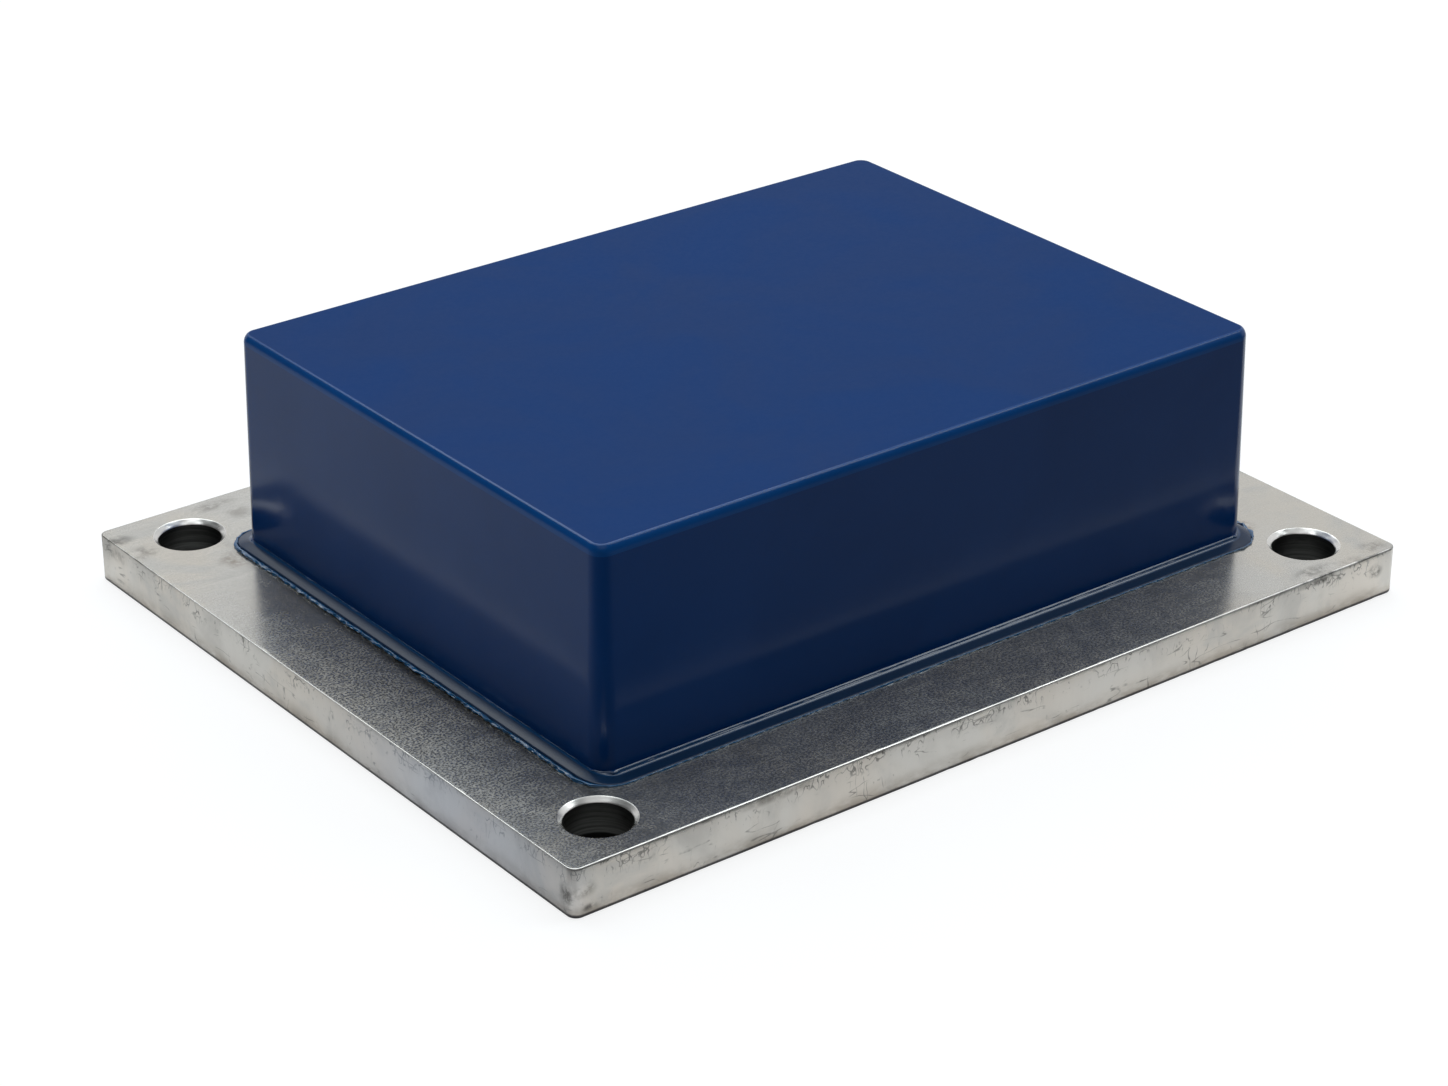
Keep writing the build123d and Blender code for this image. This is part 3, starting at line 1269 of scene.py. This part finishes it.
@dataclass
class Studio:
    """Floor, softbox, surroundings and camera.

    A span holds the two ends of a smooth step, and a ramp its ends and then its values there.
    """

    image_width: int = 1448
    sensor: float = 36.0
    focal_pixels: float = 3734.3
    azimuth: float = radians(-37.667)
    elevation: float = radians(26.542)
    distance: float = 715.4 * MM
    target: Point = (-16.6 * MM, -14.6 * MM, 20.0 * MM)
    floor_half: float = 3.0
    floor_lift: float = 0.81
    floor_colour: Colour = (0.22, 0.23, 0.24)
    near_left: Span = (13.7 * MM, 12.1 * MM)
    near_front: Span = (17.2 * MM, 15.6 * MM)
    front_edge: Span = (-4 * MM, 2 * MM)
    front_level: float = 1.22
    left_level: Ramp = (-70 * MM, 50 * MM, 0.95, 1.15)
    left_end: Ramp = (75 * MM, 100 * MM, 1.0, 0.55)
    past_corner: Ramp = (1 * MM, 7 * MM, 1.0, 0.5)
    far_left_front: Ramp = (-100 * MM, 20 * MM, 0.02, 0.42)
    far_left_back: Ramp = (30 * MM, 130 * MM, 0.0, 0.08)
    far_front: Ramp = (-120 * MM, 50 * MM, 0.02, 0.25)
    lit: Ramp = (-120 * MM, 120 * MM, 0.98, 0.38)
    softbox_side: float = 1.2
    softbox_power: float = 9.25
    softbox_place: Point = (0.04, 0.32, 0.93)
    front_lamp_side: float = 0.34
    front_lamp_power: float = 1.25
    front_lamp_place: Point = (0.55, -0.3, 0.75)
    lamp_colour: Colour = (0.94, 1.0, 1.01)
    bright_way: Point = (0.8, 0.6, 0.0)
    bright_edge: Span = (0.1, 0.42)
    bright_top: Span = (0.9, 0.62)
    bright_level: float = 0.88
    ceiling_way: Point = (-0.25, -0.4, 0.88)
    ceiling_edge: Span = (0.82, 0.93)
    ceiling_level: float = 0.68
    dim_level: float = 0.07

    def camera(self) -> None:
        """Sets the camera where the picture was taken from."""
        data = bpy.data.cameras.new("camera")
        data.sensor_width = self.sensor
        data.lens = self.focal_pixels * self.sensor / self.image_width
        data.clip_start, data.clip_end = 0.01, 20
        camera = bpy.data.objects.new("camera", data)
        level = cos(self.elevation)
        away = Vector((sin(self.azimuth) * level, -cos(self.azimuth) * level, sin(self.elevation)))
        camera.location = Vector(self.target) + away * self.distance
        camera.rotation_euler = away.to_track_quat("Z", "Y").to_euler()
        bpy.context.scene.collection.objects.link(camera)
        bpy.context.scene.camera = camera

    def floor(self) -> None:
        """Lays a wide white floor that keeps the part's shadow.

        Reflections find it white close under the plate's sides. Further out it is pale along the
        left side and behind, fainter along the front, and dark past the near corner, as a floor
        looks under a low black flag there. It sends more light up on the left than on the right.
        """
        h = self.floor_half
        mesh = bpy.data.meshes.new("floor")
        mesh.from_pydata([(-h, -h, 0), (h, -h, 0), (h, h, 0), (-h, h, 0)], [], [(0, 1, 2, 3)])
        floor = bpy.data.objects.new("floor", mesh)
        bpy.context.scene.collection.objects.link(floor)
        material, g = new_material("studio_floor")
        across, along = g.axis(0), g.axis(1)
        left = g.maths("SUBTRACT", cad_box[0].x, across)
        front = g.maths("SUBTRACT", cad_box[0].y, along)
        near = g.maths("MINIMUM", g.between(left, *self.near_left), g.between(front, *self.near_front))
        in_front = g.between(front, *self.front_edge)
        beside = g.maths("SUBTRACT", 1.0, in_front)
        behind = g.between(along, *self.left_end)
        at_left = g.product(g.between(along, *self.left_level), behind, beside)
        past_corner = g.between(g.maths("MINIMUM", left, front), *self.past_corner)
        round_plate = g.total(at_left, g.product(in_front, self.front_level))
        far_left = g.total(*(g.between(along, *r) for r in (self.far_left_front, self.far_left_back)))
        far = g.maths("MAXIMUM", far_left, g.between(across, *self.far_front))
        level = g.maths("MAXIMUM", g.product(near, past_corner, round_plate), far)
        lit = g.between(g.maths("SUBTRACT", across, along), *self.lit)
        white = g.node("BsdfDiffuse", Color=self.floor_colour).outputs[0]
        lift = g.node("Emission", Color=(1.0, 1.0, 1.0), Strength=self.floor_lift).outputs[0]
        seen = g.node("AddShader")
        for socket, value in zip(seen.inputs, (white, lift)):
            g.plug(socket, value)
        mirrored = g.node("BsdfDiffuse", Color=level).outputs[0]
        bounced = g.node("BsdfDiffuse", Color=lit).outputs[0]
        shader = g.choose("Is Glossy Ray", bounced, mirrored)
        g.end("OutputMaterial", g.choose("Is Camera Ray", shader, seen.outputs[0]))
        mesh.materials.append(material)

    def lamp(self, name: str, size: float, power: float, place: Point) -> None:
        """Hangs a square lamp that faces the part.

        Args:
            name: the lamp's name.
            size: its side.
            power: its power in watts.
            place: its centre.
        """
        data = bpy.data.lights.new(name, "AREA")
        data.shape = "SQUARE"
        data.size = size
        data.energy = power
        data.color = self.lamp_colour
        lamp = bpy.data.objects.new(name, data)
        lamp.location = place
        lamp.rotation_euler = Vector(place).to_track_quat("Z", "Y").to_euler()
        lamp.visible_camera = False
        bpy.context.scene.collection.objects.link(lamp)

    def surroundings(self) -> None:
        """Makes the world: bright low down behind on the right, pale overhead and dim elsewhere.

        The strength is a dim level, plus a bright one times two smooth steps, one down from
        overhead and one towards the bright side, plus the ceiling's. The camera sees plain white.
        """
        world = bpy.data.worlds.new("studio")
        bpy.context.scene.world = world
        world.use_nodes = True
        g = Graph(world.node_tree, "Generated")
        facing = []
        for way in (self.bright_way, self.ceiling_way):
            node = g.node("VectorMath", {"operation": "DOT_PRODUCT"})
            g.plug(node.inputs[0], g.place)
            g.plug(node.inputs[1], way)
            facing.append(node.outputs["Value"])
        low = g.between(g.axis(2), *self.bright_top)
        towards = g.between(facing[0], *self.bright_edge)
        ceiling = g.between(facing[1], *self.ceiling_edge, 0.0, self.ceiling_level)
        bright = g.product(low, towards, self.bright_level)
        level = g.total(ceiling, self.dim_level, bright)
        around = g.node("Background", Strength=level).outputs[0]
        white = g.node("Background", Strength=1.0).outputs[0]
        g.end("OutputWorld", g.choose("Is Camera Ray", around, white))

    def build(self) -> None:
        """Builds the whole stage."""
        scene = bpy.context.scene
        scene.view_settings.view_transform = "Standard"
        self.camera()
        self.floor()
        self.lamp("softbox", self.softbox_side, self.softbox_power, self.softbox_place)
        self.lamp("front_lamp", self.front_lamp_side, self.front_lamp_power, self.front_lamp_place)
        self.surroundings()
        log.info("stage: lens %.1f mm", scene.camera.data.lens)


COOL_STEEL = shade(203, 202, 198)
WARM_STEEL = shade(206, 202, 194)
SPECK_TINT = shade(110, 102, 88)
GRIME = shade(95, 88, 80)
DARK_GRIME = shade(60, 58, 56)
# painted shade: the colour of the dark line along the plate's foot, standing in for the contact shadow
FOOT_SHADE_TINT = shade(30, 30, 38)
BROWN_GRIME = shade(150, 138, 124)
FACE_MARKS_AND_SHADOW = (
    Mark((-99, 75, 10), (5, 3, 2), 0.7, DARK_GRIME),
    Mark((-97, 67.5, 10), (4, 4, 2), 0.6, GRIME),
    Mark((-76, 77.5, 10), (7, 2.5, 2), 0.5, GRIME),
    Mark((-73, 72, 10), (4, 4, 2), 0.4, GRIME),
    Mark((-84.5, 54, 10), (4.5, 5, 2), 0.7, shade(130, 118, 104)),
    # painted shadow: a dark band on the plate along the rim of the left skirt, where the contact shadow
    # falls
    Mark((-82.2, -8, 10), (2.8, 84, 2), 0.85, shade(34, 32, 30), ragged=False),
    Mark((82, -56, 10), (3.5, 3.5, 2), 0.7, shade(130, 112, 98)),
    Mark((79, -78.5, 10), (7, 2.5, 2), 0.55, DARK_GRIME),
    Mark((87, -79.8, 10), (5, 1.8, 2), 0.6, GRIME),
    Mark((95.8, -78, 10), (4.5, 3, 2), 0.55, GRIME),
)
EDGE_MARKS = (
    Mark((84, -81, 10), (34, 3, 3), 0.75, DARK_GRIME),
    Mark((-100, 74, 10), (3, 30, 3), 0.8, GRIME),
)
SIDE_MARKS = (
    Mark((-100, -48, 6), (6, 54, 16), 0.3, shade(174, 189, 219), ragged=False),
    Mark((-100, -79, 4.2), (3.5, 3, 3.5), 0.8, DARK_GRIME),
    Mark((-97.3, -81, 5.4), (3, 3, 2.2), 0.6, GRIME),
    Mark((-96.6, -81, 1.8), (2.2, 2, 1), 0.8, DARK_GRIME),
    Mark((94, -81, 6.2), (2.8, 2, 2.2), 0.8, DARK_GRIME),
    Mark((79, -81, 9), (9, 2, 1.1), 0.8, DARK_GRIME),
    Mark((-100, 74, 8), (2, 7, 2.2), 0.5, GRIME),
    Mark((-56, -81, 9), (12, 2, 1.4), 0.6, GRIME),
)
PALE_PATCHES = (
    Patch((-103, -28, 10), (22.5, 96, 4), 1.45),
    Patch((66, -76, 10), (26, 16, 4), 0.45),
    Patch((-79.5, -75, 10), (8, 4, 4), 0.35),
    Patch((-93, -62, 10), (3, 7, 4), 0.3),
    Patch((-93, -78, 10), (12, 4, 4), 0.2),
)
SPECKLED_PATCHES = (
    Patch((-92, -16, 10), (24, 98, 4), 0.28),
    Patch((-8, -77, 10), (100, 22, 4), 0.15),
)
DEEP_BLUE = (0.001, 0.031, 0.137)


def main() -> None:
    """Builds the stage, the plate and the block, in that order."""
    Studio().build()
    plate_finishes = (
        BareSteel(
            "rolled_face", COOL_STEEL, WARM_STEEL, 0.22, grain=0.18, pale=PALE_PATCHES,
            speckled=SPECKLED_PATCHES, streaks=(160, 1500, 160), streak_depth=0.02, marks=FACE_MARKS_AND_SHADOW,
        ),
        BareSteel(
            "cut_side", shade(210, 206, 201), shade(211, 204, 196), 0.4, grain=0.06,
            streaks=(900, 900, 60), streak_depth=0.03, clouds=0.14, hairlines=0.7, scuffs=0.85,
            low_grime=0.6, painted_foot_shade=0.85, marks=SIDE_MARKS,
        ),
        BareSteel(
            "broken_edge", shade(225, 224, 222), shade(228, 226, 223), 0.3, streaks=(300, 300, 300),
            clouds=0.25, painted_foot_shade=0.92, marks=EDGE_MARKS,
        ),
        BareSteel(
            "countersink", shade(234, 234, 232), shade(236, 235, 233), 0.29, streaks=(300, 300, 90),
        ),
        DrilledSteel("drilled_bore", (0.1, 0.1, 0.096), (0.006, 0.006, 0.006), 3.2 * MM),
    )
    plate = BasePlate().build([finish.build() for finish in plate_finishes])
    log.info("%s on body root", plate.name)
    block_finishes = (
        CastPolyurethane("moulded_polyurethane", DEEP_BLUE, 0.16, 0.33),
        CastPolyurethane("open_top_polyurethane", DEEP_BLUE, 0.45, 0.038, grain=0.3),
        # painted light: the top edge is a brighter blue than the block, standing in for light glowing
        # through the edge
        CastPolyurethane("top_edge_polyurethane_painted_light", (0.001, 0.05, 0.2), 0.18, 0.28),
        CastPolyurethane("apron_polyurethane", (0.004, 0.023, 0.066), 0.24, 0.33, grain=0.06),
        CastPolyurethane("flash_polyurethane", (0.001, 0.08, 0.21), 0.09, 0.9),
        CastPolyurethane("crease_polyurethane", (0.003, 0.04, 0.12), 0.14, 0.6, grain=0.06),
    )
    block = CastBlock().build([finish.build() for finish in block_finishes])
    log.info("%s on body root", block.name)


if __name__ == "__main__":
    main()
